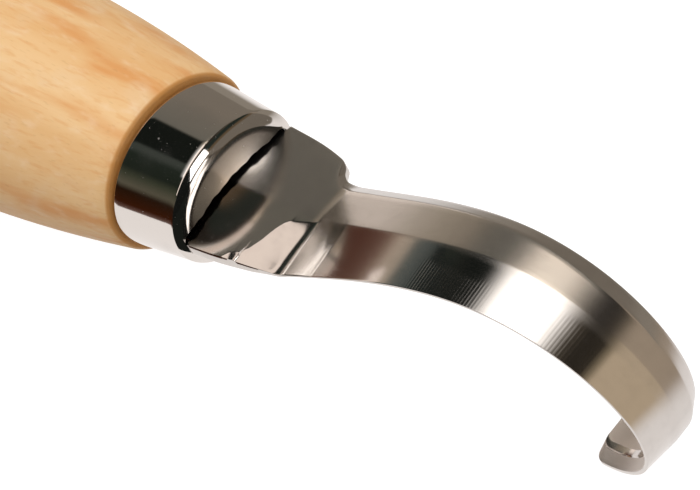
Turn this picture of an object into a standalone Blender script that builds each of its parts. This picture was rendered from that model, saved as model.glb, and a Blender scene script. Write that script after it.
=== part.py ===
"""Hook knife for hollowing bowls and spoons: an oval birch handle, a slotted steel cap ferrule and a
one-piece hooked blade whose tang is bedded in the handle's bore.

Knife axes: +X runs along the handle towards the hook, +Y from the cutting edge to the spine, and +Z
out of the blade's ground outer face, so the hook curls down. The origin is the middle of the bottom of
the whole knife's box. Lengths below are measured from the ferrule's rear rim, on the handle's axis.
"""

import math

import bmesh
import bpy
import numpy as np

MM = 0.001

# Handle: an oval barrel with a flat in the middle of its rounded butt.
HANDLE_LENGTH = 100.0 * MM
HANDLE_HALF_WIDTH = 14.9 * MM
HANDLE_WIDEST_AT = 42.0 * MM
HANDLE_LIP_HALF_WIDTH = 11.1 * MM
HANDLE_BUTT_HALF_WIDTH = 12.9 * MM
HANDLE_OVALITY = 0.83
HANDLE_SWELL_POWER = 2.1
LIP_ROUNDING = 0.9 * MM
BUTT_ROUNDING = 8.5 * MM
BORE_RADIUS = 6.0 * MM
BORE_END = -61.0 * MM
SPIGOT_CHAMFER = 0.5 * MM

# Ferrule: a drawn steel cap that narrows a little towards its slotted front face.
FERRULE_LENGTH = 9.8 * MM
FERRULE_REAR_HALF_WIDTH = 10.5 * MM
FERRULE_FRONT_HALF_WIDTH = 9.5 * MM
FERRULE_OVALITY = 0.79
FERRULE_WALL = 0.8 * MM
# Its front, as inset from the rim and distance behind the foremost ring: a broad shoulder, then a dish.
FERRULE_FACE = (
    (0.0, 0.86), (0.07, 0.7), (0.38, 0.48), (0.7, 0.29), (1.05, 0.15), (1.42, 0.06), (1.8, 0.0),
    (2.55, 0.05), (3.34, 0.17), (4.13, 0.31), (4.91, 0.47), (5.7, 0.64),
)
FERRULE_REAR_ROUNDING = 0.25 * MM
SLOT_HALF_LENGTH = 8.8 * MM
SLOT_LOW = -1.5 * MM
SLOT_HIGH = 1.3 * MM

# Blade: flat stock, ground on its outer face and honed along the edge on its inner face.
STOCK = 1.6 * MM
OUTER_FLAT_HEIGHT = 0.62 * MM
EDGE_BREAK = 0.12 * MM
EDGE_LAND = 0.2 * MM
BEVEL_DEPTH = 0.75 * MM
BEVEL_SLOPE = 0.11
INNER_BEVEL_WIDTH = 1.5 * MM
INNER_BEVEL_FROM = 9.0 * MM
INNER_BEVEL_TO = 14.0 * MM
CHAMFER_DEPTH = 1.05 * MM
BLADE_LENGTH = 87.6 * MM
CRANK_FROM = 11.8 * MM
CRANK_TO = 13.5 * MM
CRANK_ANGLE = math.radians(18.75)
# The hook's bend: distance along the blade from the ferrule, and the radius there.
BEND_START = 20.3 * MM
BEND = (
    (34.0 * MM, 60.0 * MM),
    (46.0 * MM, 18.6 * MM),
    (60.0 * MM, 14.9 * MM),
    (73.0 * MM, 14.1 * MM),
    (BLADE_LENGTH, 9.5 * MM),
)
EDGE_CORNER = 1.3 * MM
SPINE_CORNER = 2.6 * MM

# Outlines of the unbent blade: distance along it, and offset from the handle's axis, in millimetres.
EDGE_LINE = (
    (0.3, -8.9), (4, -8.6), (8, -8.0), (11.5, -7.4), (17, -6.75),
    (26, -5.95), (40, -5.05), (60, -3.8), (87.6, -2.4),
)
SPINE_LINE = (
    (0.3, 9.2), (5, 8.8), (9.4, 8.0), (10.1, 7.6), (10.8, 6.6),
    (11.6, 6.15), (30, 6.25), (50, 6.2), (67, 5.9), (87.6, 5.3),
)
BEVEL_LINE = (
    (7.4, -8.1), (7.8, -6.5), (8.6, -3.1), (10.2, -1.05), (14.5, 0.2),
    (30, 0.4), (46, 1.05), (66, 1.5), (87.6, 1.9),
)
CHAMFER_LINE = (
    (0.3, 9.08), (5, 8.68), (8.6, 8.02), (9.6, 7.7), (10.8, 5.6), (11.8, 4.8), (14, 4.67),
    (44, 4.7), (56, 4.15), (68, 3.95), (87.6, 3.4),
)
# The chamfer's full width, which it reaches past the step that its grind leaves in the spine.
CHAMFER_WIDTH = 1.5 * MM

# Tang, hidden in the handle: distance behind the ferrule's front face, and half width there.
TANG_STEPS = (
    (66.0 * MM, 2.0 * MM),
    (64.0 * MM, 3.2 * MM),
    (1.45 * MM, 4.5 * MM),
    (1.2 * MM, 8.3 * MM),
    (-0.1 * MM, 8.3 * MM),
)
CLEARANCE = 0.3 * MM
BEDDING_FRONT = 7.0 * MM

OVAL_SEGMENTS = 64
BORE_SEGMENTS = 32
# Steps between the blade's sections, and the stretch where its grinds start.
STATION_STEP = 0.6 * MM
GRIND_STEP = 0.3 * MM
GRIND_FROM = 7.0 * MM
GRIND_TO = 15.0 * MM
# How far a cutter runs past what it cuts.
CUTTER_REACH = 1.5 * MM


def smooth_line(points, at):
    """The value at one distance of a line that passes smoothly, with no overshoot, through the points."""
    xs = [x * MM for x, _ in points]
    ys = [y * MM for _, y in points]
    if at <= xs[0]:
        return ys[0]
    if at >= xs[-1]:
        return ys[-1]
    i = next(k for k in range(len(xs) - 1) if at < xs[k + 1])
    rises = [(ys[k + 1] - ys[k]) / (xs[k + 1] - xs[k]) for k in range(len(xs) - 1)]

    def slope(k):
        if k == 0:
            return rises[0]
        if k == len(rises):
            return rises[-1]
        before, after = rises[k - 1], rises[k]
        return 0.0 if before * after <= 0 else 2 * before * after / (before + after)

    span = xs[i + 1] - xs[i]
    t = (at - xs[i]) / span
    return (
        (2 * t**3 - 3 * t**2 + 1) * ys[i]
        + (t**3 - 2 * t**2 + t) * span * slope(i)
        + (3 * t**2 - 2 * t**3) * ys[i + 1]
        + (t**3 - t**2) * span * slope(i + 1)
    )


def curvature(at):
    """How sharply the blade bends at a distance along it: up at the crank, then down round the hook."""
    if CRANK_FROM <= at <= CRANK_TO:
        return -CRANK_ANGLE / (CRANK_TO - CRANK_FROM)
    distances = [BEND_START] + [distance for distance, _ in BEND]
    bends = [0.0] + [1.0 / radius for _, radius in BEND]
    return 0.0 if at < BEND_START else float(np.interp(at, distances, bends))


def outer_face_path():
    """Distances along the blade, with the x, z and downward angle of its outer face at each."""
    steps = int(BLADE_LENGTH / (0.1 * MM))
    distances = np.linspace(0.0, BLADE_LENGTH, steps + 1)
    step = distances[1]
    middles = distances[:-1] + step / 2
    angles = np.concatenate([[0.0], np.cumsum([curvature(at) * step for at in middles])])
    half_way = (angles[:-1] + angles[1:]) / 2
    xs = FERRULE_LENGTH + np.concatenate([[0.0], np.cumsum(np.cos(half_way) * step)])
    zs = OUTER_FLAT_HEIGHT - np.concatenate([[0.0], np.cumsum(np.sin(half_way) * step)])
    return distances, xs, zs, angles


def to_box_origin(path):
    """The shift from the ferrule's rear rim to the middle of the bottom of the knife's box."""
    _, xs, zs, _ = path
    return (-(xs.max() - HANDLE_LENGTH) / 2, 0.0, -zs.min())


def finish_mesh(name, bm, material, location):
    """Turns a bmesh into a named, placed object with faces outward and round stretches shaded smooth."""
    bmesh.ops.recalc_face_normals(bm, faces=bm.faces)
    mesh = bpy.data.meshes.new(name)
    bm.to_mesh(mesh)
    bm.free()
    mesh.shade_smooth()
    mesh.set_sharp_from_angle(angle=math.radians(30))
    obj = bpy.data.objects.new(name, mesh)
    obj.location = location
    bpy.context.collection.objects.link(obj)
    if material:
        mesh.materials.append(material)
    return obj


def loft(sections):
    """A closed body through rings of points that all have the same count, capped at both ends."""
    bm = bmesh.new()
    rings = [[bm.verts.new(point) for point in section] for section in sections]
    for ring, following in zip(rings, rings[1:]):
        for i in range(len(ring)):
            j = (i + 1) % len(ring)
            bm.faces.new((ring[i], ring[j], following[j], following[i]))
    bm.faces.new(rings[0])
    bm.faces.new(rings[-1])
    return bm


def oval(x, half_width, half_height):
    """A ring of points around the handle's axis."""
    turns = [2 * math.pi * i / OVAL_SEGMENTS for i in range(OVAL_SEGMENTS)]
    return [(x, half_width * math.cos(a), half_height * math.sin(a)) for a in turns]


def make_material(name, colour, roughness, metallic):
    material = bpy.data.materials.new(name)
    material.use_nodes = True
    shader = material.node_tree.nodes["Principled BSDF"]
    shader.inputs["Base Color"].default_value = (*colour, 1.0)
    shader.inputs["Roughness"].default_value = roughness
    shader.inputs["Metallic"].default_value = metallic
    return material


def add_cutter(target, bm, name, location):
    """Cuts the bmesh's shape out of the target with a Boolean that stays on it."""
    cutter = finish_mesh(name, bm, None, location)
    cutter.hide_render = True
    cutter.display_type = "WIRE"
    cut = target.modifiers.new(name, "BOOLEAN")
    cut.operation = "DIFFERENCE"
    cut.solver = "EXACT"
    cut.object = cutter


def barrel_half_width(behind):
    """The handle's half width at a distance behind the ferrule."""
    if behind < HANDLE_WIDEST_AT:
        end, span = HANDLE_LIP_HALF_WIDTH, HANDLE_WIDEST_AT
    else:
        end, span = HANDLE_BUTT_HALF_WIDTH, HANDLE_LENGTH - HANDLE_WIDEST_AT
    share = abs(HANDLE_WIDEST_AT - behind) / span
    return HANDLE_HALF_WIDTH - (HANDLE_HALF_WIDTH - end) * share**HANDLE_SWELL_POWER


def ferrule_half_width(x):
    """The ferrule's outer half width before its shoulder turns in."""
    share = x / FERRULE_LENGTH
    return FERRULE_REAR_HALF_WIDTH + (FERRULE_FRONT_HALF_WIDTH - FERRULE_REAR_HALF_WIDTH) * share


def handle_sections():
    """Rings from the butt, over the barrel and its lip, along the spigot and back down the bore."""
    rings = []
    for i in range(9):
        turn = math.radians(90 * i / 8)
        behind = HANDLE_LENGTH - BUTT_ROUNDING * (1 - math.cos(turn))
        inset = BUTT_ROUNDING * (1 - math.sin(turn))
        wide = barrel_half_width(behind)
        rings.append((-behind, wide - inset, wide * HANDLE_OVALITY - inset))
    barrel = np.linspace(HANDLE_LENGTH - BUTT_ROUNDING, LIP_ROUNDING, 26)[1:]
    for behind in barrel:
        wide = barrel_half_width(behind)
        rings.append((-behind, wide, wide * HANDLE_OVALITY))
    for i in range(1, 5):
        turn = math.radians(90 * i / 4)
        inset = LIP_ROUNDING * (1 - math.cos(turn))
        wide = barrel_half_width(0.0) - inset
        high = barrel_half_width(0.0) * HANDLE_OVALITY - inset
        rings.append((-LIP_ROUNDING * (1 - math.sin(turn)), wide, high))
    under = FERRULE_WALL + CLEARANCE
    spigot_end = BEDDING_FRONT + CLEARANCE
    for x in (0.0, spigot_end - SPIGOT_CHAMFER):
        wide = ferrule_half_width(x)
        rings.append((x, wide - under, wide * FERRULE_OVALITY - under))
    wide = ferrule_half_width(spigot_end) - SPIGOT_CHAMFER
    rings.append((spigot_end, wide - under, wide * FERRULE_OVALITY - under))
    rings.append((spigot_end, BORE_RADIUS, BORE_RADIUS))
    rings.append((BORE_END, BORE_RADIUS, BORE_RADIUS))
    return [oval(*ring) for ring in rings]


def make_handle(location):
    wood = make_material("birch", (0.72, 0.47, 0.25), 0.45, 0.0)
    return finish_mesh("handle", loft(handle_sections()), wood, location)


def make_ferrule(location):
    """A cup drawn from sheet, open at the rear, with a slot across its front face for the blade."""
    inner_front = FERRULE_LENGTH - FERRULE_WALL
    rear = CLEARANCE
    # The wall's inner face is dished like its outer face.
    deepest, dish = FERRULE_FACE[-1]
    wide = ferrule_half_width(inner_front)
    rings = [(inner_front - dish * MM, wide - deepest * MM, wide * FERRULE_OVALITY - deepest * MM)]
    for x in (inner_front, rear):
        wide = ferrule_half_width(x)
        rings.append((x, wide - FERRULE_WALL, wide * FERRULE_OVALITY - FERRULE_WALL))
    wide = ferrule_half_width(rear)
    rounding = FERRULE_REAR_ROUNDING
    rings.append((rear, wide - rounding, wide * FERRULE_OVALITY - rounding))
    for x in (rear + rounding, FERRULE_LENGTH / 2):
        wide = ferrule_half_width(x)
        rings.append((x, wide, wide * FERRULE_OVALITY))
    wide = ferrule_half_width(FERRULE_LENGTH - FERRULE_FACE[0][1] * MM)
    for inset, back in FERRULE_FACE:
        x = FERRULE_LENGTH - back * MM
        rings.append((x, wide - inset * MM, wide * FERRULE_OVALITY - inset * MM))
    steel = make_material("polished_steel", (0.62, 0.6, 0.57), 0.12, 1.0)
    ferrule = finish_mesh("ferrule", loft([oval(*ring) for ring in rings]), steel, location)
    add_cutter(ferrule, slot_cutter(), "ferrule_slot_cutter", location)
    return ferrule


def slot_cutter():
    """A bar with round ends, longer than the ferrule's front wall is thick."""
    centre = (SLOT_LOW + SLOT_HIGH) / 2
    radius = (SLOT_HIGH - SLOT_LOW) / 2
    outline = []
    for side in (1, -1):
        for i in range(9):
            turn = math.radians(-90 + 180 * i / 8)
            y = side * (SLOT_HALF_LENGTH - radius + radius * math.cos(turn))
            outline.append((y, centre + side * radius * math.sin(turn)))
    ends = (FERRULE_LENGTH - FERRULE_WALL - CUTTER_REACH, FERRULE_LENGTH + CUTTER_REACH)
    return loft([[(x, y, z) for y, z in outline] for x in ends])


def blade_section(at):
    """The blade's section at a distance along it: (offset, depth below the outer face), edge first."""
    edge = smooth_line(EDGE_LINE, at)
    spine = smooth_line(SPINE_LINE, at)
    bevel = max(smooth_line(BEVEL_LINE, at), edge + EDGE_BREAK)
    chamfer = min(smooth_line(CHAMFER_LINE, at), spine - EDGE_BREAK)
    bevel_depth = min(max((bevel - edge) * BEVEL_SLOPE, EDGE_BREAK), BEVEL_DEPTH)
    chamfer_depth = CHAMFER_DEPTH * min(1.0, (spine - chamfer) / CHAMFER_WIDTH)
    honed = min(max((at - INNER_BEVEL_FROM) / (INNER_BEVEL_TO - INNER_BEVEL_FROM), 0.0), 1.0)
    inner_width = EDGE_BREAK + (INNER_BEVEL_WIDTH - EDGE_BREAK) * honed
    inner_depth = STOCK - EDGE_BREAK + (BEVEL_DEPTH + EDGE_LAND - STOCK + EDGE_BREAK) * honed
    from_tip = BLADE_LENGTH - at
    edge += corner_inset(from_tip, EDGE_CORNER)
    spine -= corner_inset(from_tip, SPINE_CORNER)
    bevel = max(bevel, edge + EDGE_BREAK)
    chamfer = min(chamfer, spine - EDGE_BREAK)
    return [
        (edge + inner_width, STOCK),
        (edge, inner_depth),
        (edge, bevel_depth),
        (bevel, 0.0),
        (chamfer, 0.0),
        (spine, chamfer_depth),
        (spine, STOCK),
    ]


def corner_inset(from_tip, radius):
    """How far a rounded tip corner has turned in, at a distance from the tip."""
    if from_tip >= radius:
        return 0.0
    return radius - math.sqrt(radius**2 - (radius - from_tip) ** 2)


def blade_stations():
    """Distances along the blade for its sections: close together in the grinds and round the tip."""
    ground = np.arange(GRIND_FROM, GRIND_TO, GRIND_STEP)
    plain = np.arange(GRIND_TO, BLADE_LENGTH - SPINE_CORNER, STATION_STEP)
    turns = np.radians(np.linspace(0, 90, 9))
    tip = BLADE_LENGTH - SPINE_CORNER + SPINE_CORNER * np.sin(turns)
    return np.concatenate([[CLEARANCE, GRIND_FROM / 2], ground, plain, tip])


def tang_sections(grow):
    """Sections of the tang, back to front, each face moved out by grow."""
    low = OUTER_FLAT_HEIGHT - STOCK - grow
    high = OUTER_FLAT_HEIGHT + grow
    sections = []
    for behind, half_width in TANG_STEPS:
        wide = half_width + grow
        corners = (
            (EDGE_BREAK - wide, low),
            (-wide, low + EDGE_BREAK),
            (-wide, high - EDGE_BREAK),
            (EDGE_BREAK - wide, high),
            (wide - EDGE_BREAK, high),
            (wide, high - EDGE_BREAK),
            (wide, low),
        )
        sections.append([(FERRULE_LENGTH - behind, y, z) for y, z in corners])
    return sections


def make_blade(path, location):
    """The tang, the flat base and the ground hook, as one body."""
    distances, xs, zs, angles = path
    sections = tang_sections(0.0)
    for at in blade_stations():
        x = np.interp(at, distances, xs)
        z = np.interp(at, distances, zs)
        angle = np.interp(at, distances, angles)
        section = []
        for offset, depth in blade_section(at):
            section.append((x - depth * math.sin(angle), offset, z - depth * math.cos(angle)))
        sections.append(section)
    steel = make_material("satin_steel", (0.6, 0.57, 0.53), 0.28, 1.0)
    return finish_mesh("blade", loft(sections), steel, location)


def make_bedding(location):
    """Cured resin that fills the bore around the tang, open at the front only."""
    radius = BORE_RADIUS - CLEARANCE
    turns = [2 * math.pi * i / BORE_SEGMENTS for i in range(BORE_SEGMENTS)]
    ends = (BORE_END + CLEARANCE, BEDDING_FRONT)
    rings = [[(x, radius * math.cos(a), radius * math.sin(a)) for a in turns] for x in ends]
    resin = make_material("cured_resin", (0.55, 0.4, 0.2), 0.4, 0.0)
    bedding = finish_mesh("tang_bedding", loft(rings), resin, location)
    narrow = tang_sections(CLEARANCE)[:3]
    back = [(x - CLEARANCE, y, z) for x, y, z in narrow[0]]
    front = [(x + CUTTER_REACH, y, z) for x, y, z in narrow[-1]]
    add_cutter(bedding, loft([back, *narrow, front]), "tang_pocket_cutter", location)
    return bedding


def main():
    for obj in list(bpy.data.objects):
        bpy.data.objects.remove(obj, do_unlink=True)
    path = outer_face_path()
    location = to_box_origin(path)
    make_handle(location)
    make_ferrule(location)
    make_blade(path, location)
    make_bedding(location)


main()
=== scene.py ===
"""Looks of the hook knife: birch handle, polished cap ferrule and ground steel hook in a light tent.

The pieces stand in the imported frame. Knife axes: +X along the handle towards the hook, +Y from the
cutting edge to the spine, +Z out of the blade's ground outer face. Lengths along the knife are measured
from the ferrule's rear rim, on the handle's axis, which the frame's boxes give.
"""

import math

import bmesh
import bpy
import numpy as np
from mathutils import Matrix, Vector


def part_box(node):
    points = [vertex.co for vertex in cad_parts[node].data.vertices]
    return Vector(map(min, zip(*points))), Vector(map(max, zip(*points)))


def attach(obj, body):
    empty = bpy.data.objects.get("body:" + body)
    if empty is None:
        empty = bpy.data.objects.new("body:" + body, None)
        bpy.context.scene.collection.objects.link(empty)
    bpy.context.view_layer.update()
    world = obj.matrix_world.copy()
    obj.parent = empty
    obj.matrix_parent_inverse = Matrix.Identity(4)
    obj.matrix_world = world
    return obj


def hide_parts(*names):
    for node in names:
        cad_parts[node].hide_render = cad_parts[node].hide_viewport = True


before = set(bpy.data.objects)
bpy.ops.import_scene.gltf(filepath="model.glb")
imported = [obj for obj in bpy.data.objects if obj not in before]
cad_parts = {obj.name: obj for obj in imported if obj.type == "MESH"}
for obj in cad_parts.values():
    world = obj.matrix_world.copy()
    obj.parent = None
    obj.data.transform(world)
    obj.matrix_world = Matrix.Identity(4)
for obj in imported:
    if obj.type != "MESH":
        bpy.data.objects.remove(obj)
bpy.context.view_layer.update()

MM = 0.001
CLEARANCE = 0.3 * MM

FERRULE_LOW, FERRULE_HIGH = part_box("ferrule")
HANDLE_LOW, HANDLE_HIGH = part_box("handle")

# The ferrule's rear rim and front face, and the height of the handle's axis.
RIM = FERRULE_LOW.x - CLEARANCE
AXIS_Z = (HANDLE_LOW.z + HANDLE_HIGH.z) / 2
FERRULE_LENGTH = FERRULE_HIGH.x - RIM
HANDLE_LENGTH = RIM - HANDLE_LOW.x
HANDLE_HALF_WIDTH = HANDLE_HIGH.y
HANDLE_OVALITY = (HANDLE_HIGH.z - HANDLE_LOW.z) / (HANDLE_HIGH.y - HANDLE_LOW.y)

# Handle: an oval barrel that narrows to a rounded lip behind the ferrule.
HANDLE_WIDEST_AT = 42.0 * MM
HANDLE_LIP_HALF_WIDTH = 11.1 * MM
HANDLE_BUTT_HALF_WIDTH = 12.9 * MM
HANDLE_SWELL_POWER = 2.1
LIP_ROUNDING = 0.55 * MM
BUTT_ROUNDING = 8.5 * MM
BORE_RADIUS = 6.0 * MM
BORE_END = -61.0 * MM
SPIGOT_FRONT = 7.3 * MM
SPIGOT_CHAMFER = 0.5 * MM

# Ferrule: a cap drawn from sheet, with a slot that the blade's base fills.
FERRULE_REAR_HALF_WIDTH = 10.5 * MM
FERRULE_FRONT_HALF_WIDTH = 9.5 * MM
FERRULE_OVALITY = 0.79
FERRULE_WALL = 0.8 * MM
# Its front: a small break, a broad shoulder between two turns, and a dish that ends at a slope.
SHOULDER_BREAK = 0.2 * MM
SHOULDER_RADIUS = 3.0 * MM
SHOULDER_FROM = math.radians(50)
SHOULDER_TO = math.radians(98)
DISH_END = math.radians(14)
DISH_REACH = 4.0 * MM
BREAK_STEPS = 12
SHOULDER_STEPS = 40
DISH_STEPS = 60
FERRULE_REAR_ROUNDING = 0.25 * MM
SLOT_HALF_LENGTH = 8.8 * MM
SLOT_LOW = -1.5 * MM
SLOT_HIGH = 1.3 * MM
LIP_WAVE = 0.09 * MM

# Blade: flat stock, ground on its outer face and honed along the edge on its inner face.
STOCK = 1.6 * MM
OUTER_FLAT_HEIGHT = 0.62 * MM
EDGE_BREAK = 0.12 * MM
EDGE_LAND = 0.2 * MM
BEVEL_DEPTH = 0.75 * MM
BEVEL_SLOPE = 0.11
# The plunge slopes in at the bevel's start. It shapes nothing beyond this offset and this distance.
PLUNGE_SLOPE = 0.145
PLUNGE_SOFTNESS = 0.015 * MM
PLUNGE_SIDE = 0.6 * MM
PLUNGE_END = 18.0 * MM
# The inner face's honed bevel grows to its full width between these distances.
INNER_BEVEL_WIDTH = 1.5 * MM
INNER_BEVEL_FROM = 9.0 * MM
INNER_BEVEL_TO = 14.0 * MM
CHAMFER_DEPTH = 1.05 * MM
CHAMFER_WIDTH = 1.5 * MM
BLADE_LENGTH = 87.6 * MM
CRANK_FROM = 11.8 * MM
CRANK_TO = 13.5 * MM
CRANK_ANGLE = math.radians(18.75)
BEND_START = 20.3 * MM
BEND = (
    (34.0 * MM, 60.0 * MM),
    (46.0 * MM, 18.6 * MM),
    (60.0 * MM, 14.9 * MM),
    (73.0 * MM, 14.1 * MM),
    (BLADE_LENGTH, 9.5 * MM),
)
EDGE_CORNER = 1.3 * MM
SPINE_CORNER = 2.6 * MM

# Outlines of the unbent blade: distance along it, and offset from the handle's axis, in millimetres.
EDGE_LINE = (
    (0.3, -8.9), (4, -8.6), (8, -8.0), (11.5, -7.4), (17, -6.75),
    (26, -5.95), (40, -5.05), (60, -3.8), (87.6, -2.4),
)
SPINE_LINE = (
    (0.3, 9.2), (5, 8.8), (9.4, 8.0), (10.1, 7.6), (10.8, 6.6),
    (11.6, 6.15), (30, 6.25), (50, 6.2), (67, 5.9), (87.6, 5.3),
)
BEVEL_LINE = (
    (0.9, -8.75), (3.5, -8.3), (5.9, -7.5), (7.0, -6.9), (7.4, -1.9), (10.2, -1.05), (14.5, 0.2),
    (30, 0.4), (46, 1.05), (66, 1.5), (87.6, 1.9),
)
# Where the grinding begins, as offset and distance along the blade: a curve round the plunge.
PLUNGE_LINE = (
    (-9.0, 5.0), (-7.5, 5.9), (-7.0, 7.0), (-6.2, 7.7), (-4.6, 8.35),
    (-2.8, 8.75), (-1.9, 9.1), (-0.9, 9.9), (0.5, 10.5),
)
CHAMFER_LINE = (
    (0.3, 9.08), (5, 8.68), (8.6, 8.02), (9.6, 7.7), (10.8, 5.6), (11.8, 4.8), (14, 4.67),
    (44, 4.7), (56, 4.15), (68, 3.95), (87.6, 3.4),
)

# Tang, hidden in the handle: distance behind the ferrule's front face, and half width there.
TANG_STEPS = (
    (66.0 * MM, 2.0 * MM),
    (64.0 * MM, 3.2 * MM),
    (1.45 * MM, 4.5 * MM),
    (1.2 * MM, 8.3 * MM),
    (-0.1 * MM, 8.3 * MM),
)

# Camera: it looks down past the ferrule at the hook, and leans over to the left.
# Its target is in knife axes.
LENS = 176.32
SENSOR = 36.0
VIEW_DISTANCE = 362.25 * MM
VIEW_AZIMUTH = math.radians(63.87)
VIEW_ELEVATION = math.radians(44.2045)
VIEW_ROLL = math.radians(30.5065)
VIEW_TARGET = (27.11 * MM, -0.35 * MM, -0.68 * MM)

# Steel and birch, as linear colours.
POLISHED_TONE = (0.74, 0.70, 0.665)
GROUND_TONE = (0.64, 0.605, 0.575)
INNER_TONE = (0.80, 0.735, 0.685)
BIRCH_PALE = (0.79, 0.51, 0.25)
BIRCH_BODY = (0.73, 0.42, 0.175)
BIRCH_STREAK = (0.68, 0.30, 0.09)
BIRCH_FLECK = (0.40, 0.17, 0.05)
BIRCH_CLOUD = (0.76, 0.53, 0.31)
BIRCH_SPOT = (0.86, 0.68, 0.47)
LIP_DARKER = (0.52, 0.22, 0.045)
# The spigot's colour is painted shade: near black, for the dark inside of the ferrule.
SPIGOT_PAINTED_SHADE = (0.02, 0.012, 0.007)
# The resin's colour is painted shade: near black, because the slot it fills is dark.
RESIN_PAINTED_SHADE = (0.03, 0.017, 0.007)

# Light that the studio's parts send out, as linear colours.
SOFTBOX = (3.2, 3.1, 3.0)
TAUPE_WALL = (0.22, 0.19, 0.155)
TAUPE_DIM = (0.165, 0.155, 0.13)
TAUPE_PALE = (0.60, 0.54, 0.47)
CREAM = (1.22, 1.08, 0.98)
BEIGE = (0.60, 0.485, 0.345)
BEIGE_SIDE = (0.42, 0.34, 0.26)
BLACK_CLOTH = (0.008, 0.01, 0.008)
GREEN_CLOTH = (0.012, 0.016, 0.014)
RED_BROWN = (0.085, 0.027, 0.016)
RED_BROWN_DARK = (0.045, 0.011, 0.003)
WHITE = (1.0, 0.96, 0.94)


def smooth_line(points, at):
    """The value at one distance of a line that passes smoothly, with no overshoot, through the points."""
    xs = [x * MM for x, _ in points]
    ys = [y * MM for _, y in points]
    if at <= xs[0]:
        return ys[0]
    if at >= xs[-1]:
        return ys[-1]
    i = next(k for k in range(len(xs) - 1) if at < xs[k + 1])
    rises = [(ys[k + 1] - ys[k]) / (xs[k + 1] - xs[k]) for k in range(len(xs) - 1)]

    def slope(k):
        if k == 0:
            return rises[0]
        if k == len(rises):
            return rises[-1]
        before, after = rises[k - 1], rises[k]
        return 0.0 if before * after <= 0 else 2 * before * after / (before + after)

    span = xs[i + 1] - xs[i]
    t = (at - xs[i]) / span
    return (
        (2 * t**3 - 3 * t**2 + 1) * ys[i]
        + (t**3 - 2 * t**2 + t) * span * slope(i)
        + (3 * t**2 - 2 * t**3) * ys[i + 1]
        + (t**3 - t**2) * span * slope(i + 1)
    )


def curvature(at):
    """How sharply the blade bends at a distance along it: up at the crank, then down round the hook."""
    if CRANK_FROM <= at <= CRANK_TO:
        return -CRANK_ANGLE / (CRANK_TO - CRANK_FROM)
    distances = [BEND_START] + [distance for distance, _ in BEND]
    bends = [0.0] + [1.0 / radius for _, radius in BEND]
    return 0.0 if at < BEND_START else float(np.interp(at, distances, bends))


def outer_face_path():
    """Distances along the blade, with the x, z and downward angle of its outer face at each."""
    steps = int(BLADE_LENGTH / (0.1 * MM))
    distances = np.linspace(0.0, BLADE_LENGTH, steps + 1)
    stride = distances[1]
    middles = distances[:-1] + stride / 2
    angles = np.concatenate([[0.0], np.cumsum([curvature(at) * stride for at in middles])])
    half_way = (angles[:-1] + angles[1:]) / 2
    xs = FERRULE_LENGTH + np.concatenate([[0.0], np.cumsum(np.cos(half_way) * stride)])
    zs = OUTER_FLAT_HEIGHT - np.concatenate([[0.0], np.cumsum(np.sin(half_way) * stride)])
    return distances, xs, zs, angles


def placed(point):
    """A point in knife axes, moved into the frame."""
    x, y, z = point
    return (x + RIM, y, z + AXIS_Z)


def mesh_object(name, bm, material, replaced):
    """Makes a bmesh a piece of the knife that stands for a node of the frame."""
    bmesh.ops.recalc_face_normals(bm, faces=bm.faces)
    mesh = bpy.data.meshes.new(name)
    bm.to_mesh(mesh)
    bm.free()
    mesh.shade_smooth()
    mesh.materials.append(material)
    obj = bpy.data.objects.new(name, mesh)
    bpy.context.collection.objects.link(obj)
    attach(obj, "root")
    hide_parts(replaced)
    return obj


def loft(rings, caps=(True, True)):
    """A skin through closed rings of points, with its ends filled where caps says so."""
    bm = bmesh.new()
    made = [[bm.verts.new(placed(point)) for point in ring] for ring in rings]
    for ring, following in zip(made, made[1:]):
        for i in range(len(ring)):
            j = (i + 1) % len(ring)
            bm.faces.new((ring[i], ring[j], following[j], following[i]))
    if caps[0]:
        bm.faces.new(made[0])
    if caps[1]:
        bm.faces.new(made[-1])
    return bm


def oval(x, half_width, half_height, segments):
    """A ring of points around the handle's axis."""
    turns = [2 * math.pi * i / segments for i in range(segments)]
    return [(x, half_width * math.cos(a), half_height * math.sin(a)) for a in turns]


def even_normals(obj):
    """Keeps broad faces flat in shading and lets the narrow strips between them carry the turn."""
    weighted = obj.modifiers.new("even_normals", "WEIGHTED_NORMAL")
    weighted.mode = "FACE_AREA"
    weighted.weight = 50
    weighted.keep_sharp = False


# ---------------------------------------------------------------- handle

HANDLE_SEGMENTS = 160


def barrel_half_width(behind):
    """The handle's half width at a distance behind the ferrule."""
    if behind < HANDLE_WIDEST_AT:
        end, span = HANDLE_LIP_HALF_WIDTH, HANDLE_WIDEST_AT
    else:
        end, span = HANDLE_BUTT_HALF_WIDTH, HANDLE_LENGTH - HANDLE_WIDEST_AT
    share = abs(HANDLE_WIDEST_AT - behind) / span
    return HANDLE_HALF_WIDTH - (HANDLE_HALF_WIDTH - end) * share**HANDLE_SWELL_POWER


def ferrule_half_width(x):
    """The ferrule's outer half width before its shoulder turns in."""
    share = x / FERRULE_LENGTH
    return FERRULE_REAR_HALF_WIDTH + (FERRULE_FRONT_HALF_WIDTH - FERRULE_REAR_HALF_WIDTH) * share


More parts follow.
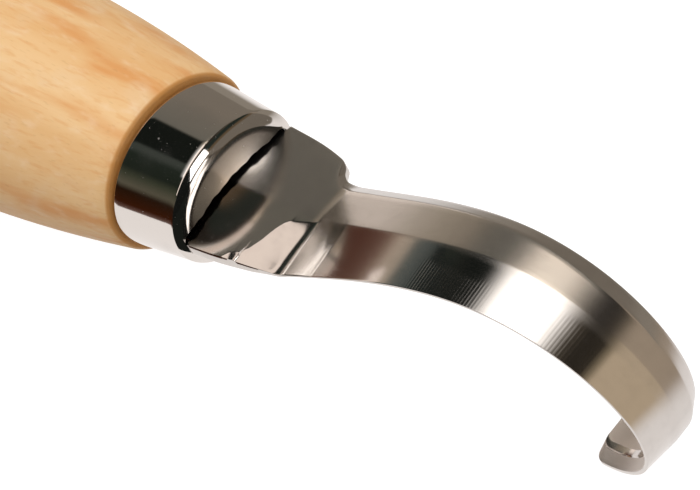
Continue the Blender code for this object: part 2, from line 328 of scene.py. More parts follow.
def handle_rings():
    """Rings from the butt, over the barrel and its lip, along the spigot and back down the bore."""
    rings = []
    for turn in np.radians(np.linspace(0, 90, 17)):
        behind = HANDLE_LENGTH - BUTT_ROUNDING * (1 - math.cos(turn))
        inset = BUTT_ROUNDING * (1 - math.sin(turn))
        wide = barrel_half_width(behind)
        rings.append((-behind, wide - inset, wide * HANDLE_OVALITY - inset))
    for behind in np.linspace(HANDLE_LENGTH - BUTT_ROUNDING, LIP_ROUNDING, 90)[1:]:
        wide = barrel_half_width(behind)
        rings.append((-behind, wide, wide * HANDLE_OVALITY))
    for turn in np.radians(np.linspace(0, 90, 11)[1:]):
        inset = LIP_ROUNDING * (1 - math.cos(turn))
        wide = barrel_half_width(0.0) - inset
        high = barrel_half_width(0.0) * HANDLE_OVALITY - inset
        rings.append((-LIP_ROUNDING * (1 - math.sin(turn)), wide, high))
    under = FERRULE_WALL + CLEARANCE
    for x in np.linspace(0.0, SPIGOT_FRONT - SPIGOT_CHAMFER, 8):
        wide = ferrule_half_width(x)
        rings.append((x, wide - under, wide * FERRULE_OVALITY - under))
    wide = ferrule_half_width(SPIGOT_FRONT) - SPIGOT_CHAMFER
    rings.append((SPIGOT_FRONT, wide - under, wide * FERRULE_OVALITY - under))
    rings.append((SPIGOT_FRONT, BORE_RADIUS, BORE_RADIUS))
    rings.append((BORE_END, BORE_RADIUS, BORE_RADIUS))
    return [oval(*ring, HANDLE_SEGMENTS) for ring in rings]


def make_handle():
    handle = mesh_object("birch_handle", loft(handle_rings()), birch(), "handle")
    handle.data.set_sharp_from_angle(angle=math.radians(50))
    return handle


# ---------------------------------------------------------------- ferrule

FERRULE_SEGMENTS = 320


def slot_outline():
    """The slot's border from its +Y end, one point for each segment, with a slightly wavy upper lip."""
    centre = (SLOT_LOW + SLOT_HIGH) / 2
    radius = (SLOT_HIGH - SLOT_LOW) / 2
    straight = SLOT_HALF_LENGTH - radius
    points = []
    for i in range(FERRULE_SEGMENTS):
        a = 2 * math.pi * i / FERRULE_SEGMENTS
        y = SLOT_HALF_LENGTH * math.cos(a)
        rise = radius
        if abs(y) > straight:
            rise = math.sqrt(max(0.0, radius**2 - (abs(y) - straight) ** 2))
        if i in (0, FERRULE_SEGMENTS // 2):
            rise = 0.0
        z = centre + math.copysign(rise, math.sin(a))
        if rise == radius and z > centre:
            z += LIP_WAVE * (math.sin(1.7 * y / MM + 0.8) + 0.6 * math.sin(3.9 * y / MM) - 0.6)
        points.append((y, z))
    return points


def inset_of(y, z):
    """How far inside the front rim's oval a point of the ferrule's face lies."""
    low, high = 0.0, FRONT_RIM * FERRULE_OVALITY * 0.999
    for _ in range(40):
        middle = (low + high) / 2
        wide = FRONT_RIM - middle
        tall = FRONT_RIM * FERRULE_OVALITY - middle
        if (y / wide) ** 2 + (z / tall) ** 2 < 1:
            low = middle
        else:
            high = middle
    return low


def face_profile():
    """The front's profile: insets from the rim's oval and the x of the face there, relative to its front.

    A small break turns in from the side, then a broad shoulder, then a face dished towards the slot.
    """
    turns = [0.0]
    lengths = [0.0]
    for _ in range(BREAK_STEPS):
        turns.append(turns[-1] + SHOULDER_FROM / BREAK_STEPS)
        lengths.append(SHOULDER_BREAK * SHOULDER_FROM / BREAK_STEPS)
    for _ in range(SHOULDER_STEPS):
        turns.append(turns[-1] + (SHOULDER_TO - SHOULDER_FROM) / SHOULDER_STEPS)
        lengths.append(SHOULDER_RADIUS * (SHOULDER_TO - SHOULDER_FROM) / SHOULDER_STEPS)
    start = SHOULDER_TO - math.pi / 2
    for i in range(DISH_STEPS):
        turns.append(math.pi / 2 + start + (DISH_END - start) * (i + 1) / DISH_STEPS)
        lengths.append(DISH_REACH / DISH_STEPS)
    half_way = (np.array(turns[:-1]) + np.array(turns[1:])) / 2
    insets = np.concatenate([[0.0], np.cumsum(np.sin(half_way) * lengths[1:])])
    xs = np.concatenate([[0.0], np.cumsum(np.cos(half_way) * lengths[1:])])
    return insets, xs - xs.max()


PROFILE_INSETS, PROFILE_XS = face_profile()
FRONT_RIM = ferrule_half_width(FERRULE_LENGTH + PROFILE_XS[0])


def face_x(y, z):
    """The front face's x at a point."""
    return FERRULE_LENGTH + float(np.interp(inset_of(y, z), PROFILE_INSETS, PROFILE_XS))


def ferrule_rings():
    """Rings from inside the front wall, back along the bore, over the rim, and forward to the slot."""
    outline = slot_outline()
    inner_front = FERRULE_LENGTH - FERRULE_WALL
    rings = [[(inner_front, y, z) for y, z in outline]]
    for x in (inner_front, CLEARANCE):
        wide = ferrule_half_width(x)
        rings.append(
            oval(x, wide - FERRULE_WALL, wide * FERRULE_OVALITY - FERRULE_WALL, FERRULE_SEGMENTS)
        )
    for turn in np.radians(np.linspace(0, 90, 6)):
        inset = FERRULE_REAR_ROUNDING * (1 - math.sin(turn))
        x = CLEARANCE + FERRULE_REAR_ROUNDING * (1 - math.cos(turn))
        wide = ferrule_half_width(x)
        rings.append(oval(x, wide - inset, wide * FERRULE_OVALITY - inset, FERRULE_SEGMENTS))
    start = CLEARANCE + FERRULE_REAR_ROUNDING
    for x in np.linspace(start, FERRULE_LENGTH + PROFILE_XS[0], 16)[1:]:
        wide = ferrule_half_width(x)
        rings.append(oval(x, wide, wide * FERRULE_OVALITY, FERRULE_SEGMENTS))
    wide = ferrule_half_width(FERRULE_LENGTH + PROFILE_XS[0])
    rim = oval(0.0, wide, wide * FERRULE_OVALITY, FERRULE_SEGMENTS)
    for share in np.linspace(0, 1, 61)[1:] ** 1.3:
        ring = []
        for (_, y0, z0), (y1, z1) in zip(rim, outline):
            y = y0 + (y1 - y0) * share
            z = z0 + (z1 - z0) * share
            ring.append((face_x(y, z), y, z))
        rings.append(ring)
    return rings


def make_ferrule():
    rings = ferrule_rings()
    bm = loft(rings + [rings[0]], (False, False))
    bmesh.ops.remove_doubles(bm, verts=bm.verts, dist=1e-7)
    ferrule = mesh_object("steel_ferrule", bm, polished_steel(), "ferrule")
    ferrule.data.set_sharp_from_angle(angle=math.radians(40))
    return ferrule


# ---------------------------------------------------------------- blade

# Panels of the blade's section, in the order of its corners, and how many faces wide each is.
PANELS = (
    ("inner_bevel", 3),
    ("land", 1),
    ("bevel", 48),
    ("flat", 8),
    ("chamfer", 4),
    ("spine", 2),
    ("inner", 8),
)
# The section's points in the honed bevel, and the first point of the inner face. The UVs of inner faces are
# shifted across by INNER_SHIFT millimetres, so that their finish can differ from the outer face's.
HONED_POINTS = range(2, 6)
INNER_START = sum(steps + 2 for _, steps in PANELS[:-1]) + 2
INNER_SHIFT = 100.0
# How far each corner's rounding reaches along its two panels.
ROUNDINGS = (0.10 * MM, 0.03 * MM, 0.03 * MM, 0.10 * MM, 0.12 * MM, 0.12 * MM, 0.12 * MM)


def corner_inset(from_tip, radius):
    """How far a rounded tip corner has turned in, at a distance from the tip."""
    if from_tip >= radius:
        return 0.0
    return radius - math.sqrt(radius**2 - (radius - from_tip) ** 2)


def blade_corners(at):
    """The blade's section at a distance along it: (offset, depth below the outer face), edge first."""
    edge = smooth_line(EDGE_LINE, at)
    spine = smooth_line(SPINE_LINE, at)
    bevel = max(smooth_line(BEVEL_LINE, at), edge + EDGE_BREAK)
    chamfer = min(smooth_line(CHAMFER_LINE, at), spine - EDGE_BREAK)
    bevel_depth = min(max((bevel - edge) * BEVEL_SLOPE, EDGE_BREAK), BEVEL_DEPTH)
    chamfer_depth = CHAMFER_DEPTH * min(1.0, (spine - chamfer) / CHAMFER_WIDTH)
    honed = min(max((at - INNER_BEVEL_FROM) / (INNER_BEVEL_TO - INNER_BEVEL_FROM), 0.0), 1.0)
    inner_width = EDGE_BREAK + (INNER_BEVEL_WIDTH - EDGE_BREAK) * honed
    inner_depth = STOCK - EDGE_BREAK + (BEVEL_DEPTH + EDGE_LAND - STOCK + EDGE_BREAK) * honed
    from_tip = BLADE_LENGTH - at
    edge += corner_inset(from_tip, EDGE_CORNER)
    spine -= corner_inset(from_tip, SPINE_CORNER)
    bevel = max(bevel, edge + EDGE_BREAK)
    chamfer = min(chamfer, spine - EDGE_BREAK)
    return [
        (edge + inner_width, STOCK),
        (edge, inner_depth),
        (edge, bevel_depth),
        (bevel, 0.0),
        (chamfer, 0.0),
        (spine, chamfer_depth),
        (spine, STOCK),
    ]


def tang_corners(half_width):
    """The tang's section, with the same number of corners as the blade's."""
    return [
        (EDGE_BREAK - half_width, STOCK),
        (-half_width, STOCK - EDGE_BREAK),
        (-half_width, EDGE_BREAK),
        (EDGE_BREAK - half_width, 0.0),
        (half_width - EDGE_BREAK, 0.0),
        (half_width, EDGE_BREAK),
        (half_width, STOCK),
    ]


def fine_section(corners):
    """The section's outline with its corners rounded and its panels divided."""
    corners = [np.array(corner) for corner in corners]
    count = len(corners)
    points = []
    for i, corner in enumerate(corners):
        before = corners[i - 1] - corner
        after = corners[(i + 1) % count] - corner
        reach_before = min(ROUNDINGS[i], 0.3 * np.linalg.norm(before))
        reach_after = min(ROUNDINGS[i], 0.3 * np.linalg.norm(after))
        start = corner + before / np.linalg.norm(before) * reach_before
        end = corner + after / np.linalg.norm(after) * reach_after
        points += [start, (start + end) / 4 + corner / 2, end]
        following = corners[(i + 1) % count]
        back = corner - following
        next_reach = min(ROUNDINGS[(i + 1) % count], 0.3 * np.linalg.norm(back))
        stop = following + back / np.linalg.norm(back) * next_reach
        steps = PANELS[i][1]
        points += [end + (stop - end) * k / steps for k in range(1, steps)]
    return points


def plunge_depth(at, offset):
    """How deep the grinding can be at a point, as it slopes in from the plunge's curve."""
    offsets, distances = zip(*PLUNGE_LINE)
    begins = float(np.interp(offset / MM, offsets, distances)) * MM
    return PLUNGE_SLOPE * max(0.0, at - begins)


def with_plunge(section, at):
    """The section with its bevel no deeper than the plunge lets it be, and the crease between softened."""
    shaped = []
    for offset, depth in section:
        limit = plunge_depth(at, offset)
        if offset < PLUNGE_SIDE and depth < BEVEL_DEPTH + 0.001 * MM and at < PLUNGE_END:
            mean = (depth + limit) / 2
            half = (depth - limit) / 2
            lift = PLUNGE_SOFTNESS * min(1, limit / PLUNGE_SOFTNESS)
            depth = max(0.0, mean - math.sqrt(half**2 + PLUNGE_SOFTNESS**2) + lift)
        shaped.append((offset, depth))
    return shaped


def blade_stations():
    """Distances along the blade for its sections: close together in the grinds and round the tip."""
    base = np.linspace(CLEARANCE, 5.0 * MM, 18)
    ground = np.arange(5.1 * MM, 16.0 * MM, 0.09 * MM)
    plain = np.arange(16.0 * MM, BLADE_LENGTH - SPINE_CORNER, 0.3 * MM)
    turns = np.radians(np.linspace(0, 90, 25))
    tip = BLADE_LENGTH - SPINE_CORNER + SPINE_CORNER * np.sin(turns)
    return np.concatenate([base, ground, plain, tip])


def make_blade():
    """The tang, the flat base and the hook, as one body. Its UVs hold millimetres along and across."""
    distances, xs, zs, angles = outer_face_path()
    rings = []
    for behind, half_width in TANG_STEPS:
        section = fine_section(tang_corners(half_width))
        x = FERRULE_LENGTH - behind
        rings.append([(x, offset, OUTER_FLAT_HEIGHT - depth) for offset, depth in section])
    along = [-behind for behind, _ in TANG_STEPS]
    for at in blade_stations():
        x = np.interp(at, distances, xs)
        z = np.interp(at, distances, zs)
        angle = np.interp(at, distances, angles)
        section = with_plunge(fine_section(blade_corners(at)), at)
        ring = []
        for offset, depth in section:
            ring.append((x - depth * math.sin(angle), offset, z - depth * math.cos(angle)))
        rings.append(ring)
        along.append(at)
    bm = loft(rings)
    bm.verts.index_update()
    ring_size = len(rings[0])
    uv = bm.loops.layers.uv.new("along_across")
    for face in bm.faces:
        places = [loop.vert.index % ring_size for loop in face.loops]
        honed = all(place in HONED_POINTS for place in places)
        inner = all(place >= INNER_START for place in places)
        end_cap = len(face.verts) > 4
        shift = INNER_SHIFT if end_cap or honed or inner else 0.0
        for loop in face.loops:
            station = loop.vert.index // ring_size
            loop[uv].uv = (along[station] / MM, loop.vert.co.y / MM + shift)
    blade = mesh_object("steel_blade", bm, satin_steel(), "blade")
    even_normals(blade)
    return blade


# ---------------------------------------------------------------- node helpers


def place_node(tree, kind, **settings):
    """A new node with its settings, given by attribute name."""
    node = tree.nodes.new(kind)
    for key, value in settings.items():
        setattr(node, key, value)
    return node


def feed(tree, socket, value):
    """Links an output to a socket, or sets the socket's value."""
    if isinstance(value, bpy.types.NodeSocket):
        tree.links.new(value, socket)
    elif isinstance(value, tuple) and socket.type == "RGBA":
        socket.default_value = (*value, 1.0)
    else:
        socket.default_value = value


def calc(tree, operation, *values, clamp=False):
    """One step of arithmetic on numbers or sockets."""
    node = place_node(tree, "ShaderNodeMath", operation=operation, use_clamp=clamp)
    for socket, value in zip(node.inputs, values):
        feed(tree, socket, value)
    return node.outputs[0]


def step(tree, value, start, end):
    """0 before start, 1 after end, and smooth between. With start above end it falls instead."""
    node = place_node(tree, "ShaderNodeMapRange", interpolation_type="SMOOTHSTEP")
    if start > end:
        value = calc(tree, "MULTIPLY", value, -1.0)
        start, end = -start, -end
    feed(tree, node.inputs["Value"], value)
    node.inputs["From Min"].default_value = start
    node.inputs["From Max"].default_value = end
    return node.outputs[0]


def product(tree, *values):
    total = values[0]
    for value in values[1:]:
        total = calc(tree, "MULTIPLY", total, value)
    return total


def blend(tree, share, first, second):
    """Colour that goes from first to second as share goes from 0 to 1."""
    node = place_node(tree, "ShaderNodeMix", data_type="RGBA")
    feed(tree, node.inputs[0], share)
    feed(tree, node.inputs[6], first)
    feed(tree, node.inputs[7], second)
    return node.outputs[2]


def ramp(tree, value, stops, interpolation="LINEAR"):
    """A colour ramp over value, with stops of (position, colour)."""
    node = place_node(tree, "ShaderNodeValToRGB")
    band = node.color_ramp
    band.interpolation = interpolation
    band.elements[0].position = stops[0][0]
    band.elements[0].color = (*stops[0][1], 1.0)
    band.elements[1].position = stops[-1][0]
    band.elements[1].color = (*stops[-1][1], 1.0)
    for position, colour in stops[1:-1]:
        band.elements.new(position).color = (*colour, 1.0)
    feed(tree, node.inputs[0], value)
    return node.outputs[0]


def degrees_to(tree, across, ahead):
    """The angle in degrees whose tangent is across over ahead."""
    return calc(tree, "MULTIPLY", calc(tree, "ARCTAN2", across, ahead), 180.0 / math.pi)


def ramp_over(tree, value, low, high, stops, interpolation="LINEAR"):
    """A colour ramp whose stops are given in the value's own units, between low and high."""
    share = calc(tree, "DIVIDE", calc(tree, "SUBTRACT", value, low), high - low, clamp=True)
    scaled = [((at - low) / (high - low), colour) for at, colour in stops]
    return ramp(tree, share, scaled, interpolation)


# ---------------------------------------------------------------- materials


def new_material(name):
    material = bpy.data.materials.new(name)
    material.use_nodes = True
    return material, material.node_tree, material.node_tree.nodes["Principled BSDF"]


def birch():
    """Oiled birch: soft streaks, short flecks and pale spots along it, a darker lip, and the spigot painted
    near black as shade inside the ferrule.
    """
    material, tree, shader = new_material("birch")
    coordinates = place_node(tree, "ShaderNodeTexCoord")
    ways = place_node(tree, "ShaderNodeSeparateXYZ")
    tree.links.new(coordinates.outputs["Object"], ways.inputs[0])
    x = ways.outputs[0]

    def grain(along, across, detail, distortion=0.0, place=0.0):
        """Noise drawn out along the handle: its scale along and across, per millimetre."""
        stretched = place_node(tree, "ShaderNodeVectorMath", operation="MULTIPLY")
        tree.links.new(coordinates.outputs["Object"], stretched.inputs[0])
        stretched.inputs[1].default_value = (along / MM, across / MM, across / MM)
        noise = place_node(tree, "ShaderNodeTexNoise", noise_dimensions="4D")
        noise.inputs["W"].default_value = place
        noise.inputs["Scale"].default_value = 1.0
        noise.inputs["Detail"].default_value = detail
        noise.inputs["Distortion"].default_value = distortion
        tree.links.new(stretched.outputs[0], noise.inputs["Vector"])
        return noise.outputs[0]

    broad = grain(0.03, 0.16, 2.0, 0.4)
    streaks = grain(0.028, 0.36, 2.0, 0.35, 3.0)
    fine = grain(0.25, 2.2, 3.0, 0.3, 7.0)
    flecks = grain(0.55, 4.5, 1.0, 0.0, 11.0)
    spots = grain(0.30, 0.9, 3.0, 0.0, 19.0)
    clouds = grain(0.16, 0.22, 2.0, 0.5, 15.0)
    colour = blend(tree, step(tree, broad, 0.35, 0.68), BIRCH_PALE, BIRCH_BODY)
    for pattern, start, end, strength, tone in (
        (streaks, 0.46, 0.70, 0.85, BIRCH_STREAK),
        (clouds, 0.52, 0.75, 0.45, BIRCH_CLOUD),
        (fine, 0.50, 0.72, 0.40, BIRCH_STREAK),
        (flecks, 0.62, 0.74, 0.16, BIRCH_FLECK),
        (spots, 0.50, 0.78, 0.30, BIRCH_SPOT),
    ):
        colour = blend(tree, product(tree, step(tree, pattern, start, end), strength), colour, tone)
    # The wood is darker over the rounded lip at the ferrule.
    lip = product(tree, step(tree, x, RIM - 0.45 * MM, RIM - 0.08 * MM), 0.85)
    colour = blend(tree, lip, colour, LIP_DARKER)
    # The spigot inside the ferrule is painted near black: painted shade for the dark inside of the ferrule.
    colour = blend(tree, step(tree, x, RIM + 0.3 * MM, RIM + 1.2 * MM), colour, SPIGOT_PAINTED_SHADE)
    tree.links.new(colour, shader.inputs["Base Color"])
    rough = calc(tree, "ADD", 0.42, product(tree, fine, 0.16))
    tree.links.new(rough, shader.inputs["Roughness"])
    shader.inputs["Specular IOR Level"].default_value = 0.35
    bump = place_node(tree, "ShaderNodeBump")
    bump.inputs["Strength"].default_value = 0.25
    bump.inputs["Distance"].default_value = 0.05 * MM
    tree.links.new(calc(tree, "ADD", fine, flecks), bump.inputs["Height"])
    tree.links.new(bump.outputs[0], shader.inputs["Normal"])
    return material


def polished_steel():
    """Mirror-polished steel with a faint haze and tiny pits."""
    material, tree, shader = new_material("polished_steel")
    coordinates = place_node(tree, "ShaderNodeTexCoord")
    smears = place_node(tree, "ShaderNodeTexNoise")
    smears.inputs["Scale"].default_value = 260.0
    smears.inputs["Detail"].default_value = 3.0
    tree.links.new(coordinates.outputs["Object"], smears.inputs["Vector"])
    pits = place_node(tree, "ShaderNodeTexNoise")
    pits.inputs["Scale"].default_value = 3200.0
    pits.inputs["Detail"].default_value = 1.0
    tree.links.new(coordinates.outputs["Object"], pits.inputs["Vector"])
    haze = step(tree, smears.outputs[0], 0.45, 0.75)
    specks = step(tree, pits.outputs[0], 0.70, 0.80)
    tone = blend(tree, haze, POLISHED_TONE, tuple(0.94 * level for level in POLISHED_TONE))
    tree.links.new(tone, shader.inputs["Base Color"])
    shader.inputs["Metallic"].default_value = 1.0
    marks = calc(tree, "ADD", product(tree, haze, 0.05), product(tree, specks, 0.25))
    rough = calc(tree, "ADD", 0.055, marks)
    tree.links.new(rough, shader.inputs["Roughness"])
    bump = place_node(tree, "ShaderNodeBump")
    bump.inputs["Strength"].default_value = 0.06
    bump.inputs["Distance"].default_value = 0.01 * MM
    tree.links.new(calc(tree, "ADD", smears.outputs[0], specks), bump.inputs["Height"])
    tree.links.new(bump.outputs[0], shader.inputs["Normal"])
    return material


# Millimetres between the bevel's grinding lines.
LINE_SPACING = 0.42


def satin_steel():
    """Ground and finely polished steel: brushing along the flat, grinding lines across the bevel."""
    material, tree, shader = new_material("satin_steel")
    where = place_node(tree, "ShaderNodeUVMap", uv_map="along_across")
    ways = place_node(tree, "ShaderNodeSeparateXYZ")
    tree.links.new(where.outputs[0], ways.inputs[0])
    along, across, _ = ways.outputs
    inner = step(tree, across, 40.0, 45.0)

    def brushed(along_scale, across_scale, detail):
        """Noise drawn out along the blade or across it: its scale per millimetre each way."""
        stretched = place_node(tree, "ShaderNodeVectorMath", operation="MULTIPLY")
        tree.links.new(where.outputs[0], stretched.inputs[0])
        stretched.inputs[1].default_value = (along_scale, across_scale, 1.0)
        noise = place_node(tree, "ShaderNodeTexNoise")
        noise.inputs["Scale"].default_value = 1.0
        noise.inputs["Detail"].default_value = detail
        tree.links.new(stretched.outputs[0], noise.inputs["Vector"])
        return noise.outputs[0]

    lengthwise = brushed(0.35, 14.0, 3.0)
    crosswise = brushed(7.0, 0.25, 2.0)
    smears = brushed(0.5, 0.6, 3.0)
    # The bevel is ground across: even lines in the middle of its run, and fainter ones on the hook.
    on_bevel = product(tree, step(tree, across, 0.6, -0.2), step(tree, across, 40.0, 35.0))
    phase = calc(tree, "MULTIPLY", along, 2 * math.pi / LINE_SPACING)
    wave = calc(tree, "SINE", calc(tree, "ADD", phase, product(tree, crosswise, 2.5)))
    middle = product(
        tree,
        step(tree, along, 33.5, 35.5),
        step(tree, along, 45.0, 41.0),
        step(tree, across, -1.2, -2.4),
    )
    later = product(
        tree,
        step(tree, along, 51.0, 53.0),
        step(tree, along, 58.0, 55.0),
        step(tree, across, 0.5, -0.8),
    )
    lines = product(tree, on_bevel, calc(tree, "ADD", middle, product(tree, later, 0.35)))
    dull = tuple(0.92 * level for level in GROUND_TONE)
    tone = blend(tree, product(tree, step(tree, smears, 0.4, 0.75), 0.6), GROUND_TONE, dull)
    tone = blend(tree, inner, tone, INNER_TONE)
    tree.links.new(tone, shader.inputs["Base Color"])
    shader.inputs["Metallic"].default_value = 1.0
    rough = calc(tree, "ADD", 0.17, product(tree, lengthwise, 0.08))
    rough = calc(tree, "ADD", rough, product(tree, on_bevel, -0.10))
    rough = calc(tree, "ADD", rough, product(tree, lines, 0.03))
    rough = calc(tree, "ADD", rough, product(tree, inner, 0.33))
    tree.links.new(rough, shader.inputs["Roughness"])
    off_bevel = calc(tree, "SUBTRACT", 1.0, on_bevel)
    lengthwise_height = product(tree, lengthwise, calc(tree, "ADD", product(tree, off_bevel, 0.5), 0.12))
    height = calc(tree, "ADD", lengthwise_height, product(tree, crosswise, on_bevel, 0.12))
    height = calc(tree, "ADD", height, product(tree, wave, lines, 0.75))
    bump = place_node(tree, "ShaderNodeBump")
    bump.inputs["Strength"].default_value = 0.35
    bump.inputs["Distance"].default_value = 0.012 * MM
    tree.links.new(height, bump.inputs["Height"])
    tree.links.new(bump.outputs[0], shader.inputs["Normal"])
    return material


# Resin painted near black: painted shade inside the ferrule's slot.
def cured_resin():
    material, _, shader = new_material("cured_resin")
    shader.inputs["Base Color"].default_value = (*RESIN_PAINTED_SHADE, 1)
    shader.inputs["Roughness"].default_value = 0.3
    return material


# ---------------------------------------------------------------- studio


def tent_pattern(tree):
    """What polished steel sees: a soft box overhead, dark cloth beside it and coloured walls round it."""
    ways = place_node(tree, "ShaderNodeSeparateXYZ")
    coordinates = place_node(tree, "ShaderNodeTexCoord")
    tree.links.new(coordinates.outputs["Generated"], ways.inputs[0])
    x, y, z = ways.outputs
    # Lean from the zenith, towards the spine side when positive.
    lean = degrees_to(tree, y, z)
    rise = calc(tree, "MULTIPLY", calc(tree, "ARCSINE", z), 180.0 / math.pi)
    # Turn from the handle's direction, towards the spine side when positive.
    turn = degrees_to(tree, y, calc(tree, "MULTIPLY", x, -1.0))

    walls = ramp_over(
        tree,
        lean,
        -110.0,
        110.0,
        [
            (-110.0, WHITE),
            (-97.0, WHITE),
            (-89.0, (0.14, 0.08, 0.065)),
            (-82.0, RED_BROWN_DARK),
            (-62.0, (0.02, 0.008, 0.003)),
            (-54.0, (0.11, 0.10, 0.07)),
            (-42.0, (0.05, 0.055, 0.035)),
            (-34.0, (0.015, 0.02, 0.014)),
            (-19.0, (0.018, 0.024, 0.018)),
            (-13.0, (0.05, 0.058, 0.05)),
            (-9.0, (0.05, 0.058, 0.05)),
            (-6.5, BLACK_CLOTH),
            (19.5, BLACK_CLOTH),
            (22.0, TAUPE_DIM),
            (60.0, TAUPE_WALL),
            (92.0, TAUPE_WALL),
            (110.0, (0.35, 0.32, 0.28)),
        ],
    )
    # Towards the handle: a pale wall on the spine side, and a narrow view of the room on the edge side.
    pale = ramp_over(
        tree,
        rise,
        0.0,
        45.0,
        [
            (0.0, CREAM),
            (9.1, CREAM),
            (9.7, TAUPE_PALE),
            (17.0, (0.42, 0.36, 0.28)),
            (33.0, (0.27, 0.225, 0.175)),
            (45.0, TAUPE_WALL),
        ],
    )
    room = ramp_over(
        tree,
        rise,
        0.0,
        45.0,
        [
            (0.0, RED_BROWN),
            (13.6, RED_BROWN),
            (16.2, (0.2, 0.11, 0.08)),
            (17.6, (0.55, 0.45, 0.36)),
            (21.0, (0.50, 0.42, 0.33)),
            (21.6, (0.12, 0.135, 0.125)),
            (25.0, (0.10, 0.115, 0.11)),
            (28.0, (0.06, 0.07, 0.065)),
            (31.0, (0.02, 0.026, 0.02)),
            (45.0, BLACK_CLOTH),
        ],
    )
    far_end = blend(tree, step(tree, turn, 16.2, 17.6), room, pale)
    share = product(
        tree,
        step(tree, x, -0.70, -0.80),
        step(tree, turn, -12.0, -6.0),
        step(tree, turn, 60.0, 40.0),
    )
    scene = blend(tree, share, walls, far_end)
    # Towards the hook's side: dark cloth over a beige wall.
    near_end = ramp_over(
        tree,
        rise,
        0.0,
        60.0,
        [
            (0.0, (1, 1, 1)),
            (19.0, (1, 1, 1)),
            (23.0, (0.48, 0.48, 0.45)),
            (29.0, (0.055, 0.055, 0.055)),
            (43.0, (0.045, 0.045, 0.045)),
            (60.0, (0.2, 0.2, 0.2)),
        ],
    )
    beige = blend(tree, step(tree, calc(tree, "DIVIDE", y, x), 0.20, 0.34), BEIGE, BEIGE_SIDE)
    multiply = place_node(tree, "ShaderNodeMix", data_type="RGBA", blend_type="MULTIPLY")
    multiply.inputs[0].default_value = 1.0
    feed(tree, multiply.inputs[6], near_end)
    feed(tree, multiply.inputs[7], beige)
    near_end = multiply.outputs[2]
    share = product(tree, step(tree, x, 0.42, 0.55), step(tree, y, -0.35, -0.15))
    scene = blend(tree, share, scene, near_end)
    over = product(
        tree,
        step(tree, x, -0.55, -0.12),
        step(tree, x, 0.64, 0.14),
        step(tree, lean, 30.0, 26.0),
        step(tree, lean, -24.0, -20.0),
        step(tree, z, 0.3, 0.4),
    )
    glow = ramp_over(
        tree,
        lean,
        0.0,
        30.0,
        [
            (0.0, SOFTBOX),
            (10.0, SOFTBOX),
            (16.0, (2.3, 2.05, 1.75)),
            (19.4, (1.8, 1.5, 1.2)),
            (20.6, (0.5, 0.44, 0.36)),
            (25.0, (0.3, 0.265, 0.215)),
            (30.0, TAUPE_DIM),
        ],
    )
    return blend(tree, over, scene, glow)


def make_world():
    """The tent as polished steel sees it, and one even pale light for everything else."""
    world = bpy.data.worlds.new("tent")
    world.use_nodes = True
    tree = world.node_tree
    background = tree.nodes["Background"]
    rays = place_node(tree, "ShaderNodeLightPath")
    coordinates = place_node(tree, "ShaderNodeTexCoord")
    ways = place_node(tree, "ShaderNodeSeparateXYZ")
    tree.links.new(coordinates.outputs["Generated"], ways.inputs[0])
    soft = blend(tree, step(tree, ways.outputs[2], -0.5, 0.5), (0.38, 0.37, 0.36), (0.72, 0.72, 0.72))
    plain = blend(tree, rays.outputs["Is Camera Ray"], soft, (1.0, 1.0, 1.0))
    colour = blend(tree, rays.outputs["Is Glossy Ray"], plain, tent_pattern(tree))
    tree.links.new(colour, background.inputs["Color"])
    bpy.context.scene.world = world
    bpy.context.scene.view_settings.view_transform = "Standard"


def stage_plane(name, half_size, height):
    bm = bmesh.new()
    bmesh.ops.create_grid(bm, x_segments=1, y_segments=1, size=half_size)
    mesh = bpy.data.meshes.new(name)
    bm.to_mesh(mesh)
    bm.free()
    plane = bpy.data.objects.new(name, mesh)
    plane.location = (0, 0, height)
    bpy.context.collection.objects.link(plane)
    return plane


def card(name, corners, emission):
    """A four-cornered card, lit on one side and clear from behind.

    Its corners are in millimetres in knife axes, measured from the ferrule's front.
    """
    bm = bmesh.new()
    points = [placed((FERRULE_LENGTH + x * MM, y * MM, z * MM)) for x, y, z in corners]
    bm.faces.new([bm.verts.new(point) for point in points])
    mesh = bpy.data.meshes.new(name)
    bm.to_mesh(mesh)
    bm.free()
    obj = bpy.data.objects.new(name, mesh)
    obj.visible_camera = False
    obj.visible_diffuse = False
    obj.visible_shadow = False
    bpy.context.collection.objects.link(obj)
    material, tree, _ = new_material(name)
    lamp = place_node(tree, "ShaderNodeEmission")
    coordinates = place_node(tree, "ShaderNodeTexCoord")
    ways = place_node(tree, "ShaderNodeSeparateXYZ")
    tree.links.new(coordinates.outputs["Object"], ways.inputs[0])
    feed(tree, lamp.inputs["Color"], emission(tree, *ways.outputs) if callable(emission) else emission)
    clear = place_node(tree, "ShaderNodeBsdfTransparent")
    side = place_node(tree, "ShaderNodeNewGeometry")
    mix = place_node(tree, "ShaderNodeMixShader")
    tree.links.new(side.outputs["Backfacing"], mix.inputs[0])
    tree.links.new(lamp.outputs[0], mix.inputs[1])
    tree.links.new(clear.outputs[0], mix.inputs[2])
    tree.links.new(mix.outputs[0], tree.nodes["Material Output"].inputs["Surface"])
    mesh.materials.append(material)


def upright(x, low_y, high_y, low_z, high_z):
    """Corners of a card that faces the ferrule."""
    return [(x, low_y, low_z), (x, low_y, high_z), (x, high_y, high_z), (x, high_y, low_z)]


def overhead(z, low_x, high_x, low_y, high_y):
    """Corners of a card that faces down."""
    return [(low_x, low_y, z), (low_x, high_y, z), (high_x, high_y, z), (high_x, low_y, z)]


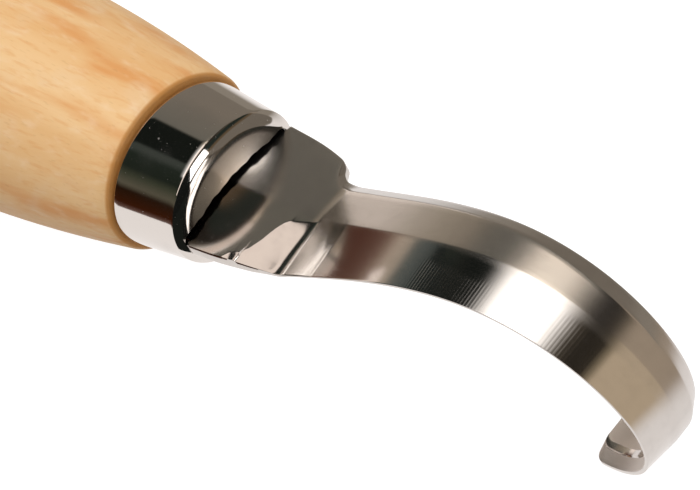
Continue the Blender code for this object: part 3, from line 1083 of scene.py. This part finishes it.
def make_cards():
    """Cards close to the ferrule: white for its shoulder, dark round and above it, cream for the plunge."""
    card("shoulder_light", upright(30.0, -5.0, 7.5, 8.0, 24.0), (3.0, 2.95, 2.9))

    def cloth(tree, _, y, z):
        """The cloth's shade: black on the edge side, and brown to green with height on the spine side."""
        height = calc(tree, "SUBTRACT", z, AXIS_Z)
        low = blend(tree, step(tree, height, 8 * MM, 11 * MM), (0.19, 0.165, 0.135), (0.13, 0.092, 0.055))
        low = blend(tree, step(tree, height, 12 * MM, 17 * MM), low, (0.02, 0.027, 0.022))
        return blend(tree, step(tree, y, -6 * MM, 3 * MM), (0.008, 0.009, 0.008), low)

    card("shoulder_cloth", upright(30.5, -60.0, 60.0, -20.4, 25.0), cloth)
    card("cap_cloth", overhead(28.0, -4.0, 11.0, -30.0, 6.0), GREEN_CLOTH)
    card("cap_cloth_side", overhead(28.0, -4.0, 3.0, 6.0, 10.0), GREEN_CLOTH)
    card("edge_cloth", upright(12.0, -34.0, -6.0, -20.4, 4.0), (0.012, 0.014, 0.012))
    card("plunge_light", overhead(14.0, -2.2, 4.8, -14.0, 1.5), (1.15, 1.0, 0.9))


# The hook's place along the table. The table's shades, as the steel sees them, turn round it.
HOOK_X = 76 * MM


def make_floor():
    """A white table that the camera sees, and below it the same table as the steel sees it."""
    floor = stage_plane("floor", 3.0, 0.0)
    floor.visible_glossy = False
    floor.visible_diffuse = False
    material, _, shader = new_material("white_table")
    shader.inputs["Base Color"].default_value = (0.3, 0.3, 0.3, 1)
    shader.inputs["Roughness"].default_value = 0.9
    shader.inputs["Specular IOR Level"].default_value = 0.0
    shader.inputs["Emission Color"].default_value = (1, 1, 1, 1)
    shader.inputs["Emission Strength"].default_value = 0.9
    floor.data.materials.append(material)
    mirrored = stage_plane("floor_in_reflections", 3.0, -0.2 * MM)
    mirrored.visible_camera = False
    mirrored.visible_diffuse = False
    mirrored.visible_shadow = False
    material, tree, _ = new_material("lit_table")
    ways = place_node(tree, "ShaderNodeSeparateXYZ")
    coordinates = place_node(tree, "ShaderNodeTexCoord")
    tree.links.new(coordinates.outputs["Object"], ways.inputs[0])
    towards = calc(tree, "ADD", ways.outputs[0], calc(tree, "MULTIPLY", ways.outputs[1], 0.4))
    beyond = calc(tree, "SUBTRACT", ways.outputs[0], HOOK_X)
    side = calc(tree, "DIVIDE", ways.outputs[1], beyond)
    beige = blend(tree, step(tree, side, 0.20, 0.34), BEIGE, BEIGE_SIDE)
    colour = blend(tree, step(tree, towards, 92 * MM, 110 * MM), WHITE, beige)
    round_hook = degrees_to(tree, ways.outputs[1], beyond)
    shade = product(tree, step(tree, ways.outputs[1], 34 * MM, 95 * MM), step(tree, round_hook, 28.0, 50.0))
    colour = blend(tree, shade, colour, (0.30, 0.265, 0.22))
    lamp = place_node(tree, "ShaderNodeEmission")
    tree.links.new(colour, lamp.inputs["Color"])
    tree.links.new(lamp.outputs[0], tree.nodes["Material Output"].inputs["Surface"])
    mirrored.data.materials.append(material)


def area_light(name, place, size, power):
    """A soft light over the knife, aimed at the ferrule. Polished steel doesn't show it."""
    data = bpy.data.lights.new(name, "AREA")
    data.shape = "SQUARE"
    data.size = size
    data.energy = power
    light = bpy.data.objects.new(name, data)
    light.location = place
    aim = Vector((RIM, 0, AXIS_Z)) - light.location
    light.rotation_euler = aim.to_track_quat("-Z", "Y").to_euler()
    light.visible_glossy = False
    bpy.context.collection.objects.link(light)


def make_camera():
    data = bpy.data.cameras.new("camera")
    data.lens = LENS
    data.sensor_width = SENSOR
    data.clip_start = 0.01
    camera = bpy.data.objects.new("camera", data)
    bpy.context.collection.objects.link(camera)
    level = Vector((math.cos(VIEW_AZIMUTH), math.sin(VIEW_AZIMUTH), 0))
    forward = Vector((-math.sin(VIEW_AZIMUTH), math.cos(VIEW_AZIMUTH), 0))
    ahead = forward * math.cos(VIEW_ELEVATION) - Vector((0, 0, math.sin(VIEW_ELEVATION)))
    above = level.cross(ahead)
    right = level * math.cos(VIEW_ROLL) - above * math.sin(VIEW_ROLL)
    up = level * math.sin(VIEW_ROLL) + above * math.cos(VIEW_ROLL)
    target = Vector(placed(VIEW_TARGET))
    turn = Matrix((right, up, -ahead)).transposed().to_4x4()
    camera.matrix_world = Matrix.Translation(target - ahead * VIEW_DISTANCE) @ turn
    bpy.context.scene.camera = camera


make_handle()
make_ferrule()
make_blade()
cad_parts["tang_bedding"].data.materials.clear()
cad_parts["tang_bedding"].data.materials.append(cured_resin())
make_floor()
make_cards()
make_world()
area_light("overhead", (0.05, 0.1, 0.7), 0.5, 2.4)
make_camera()
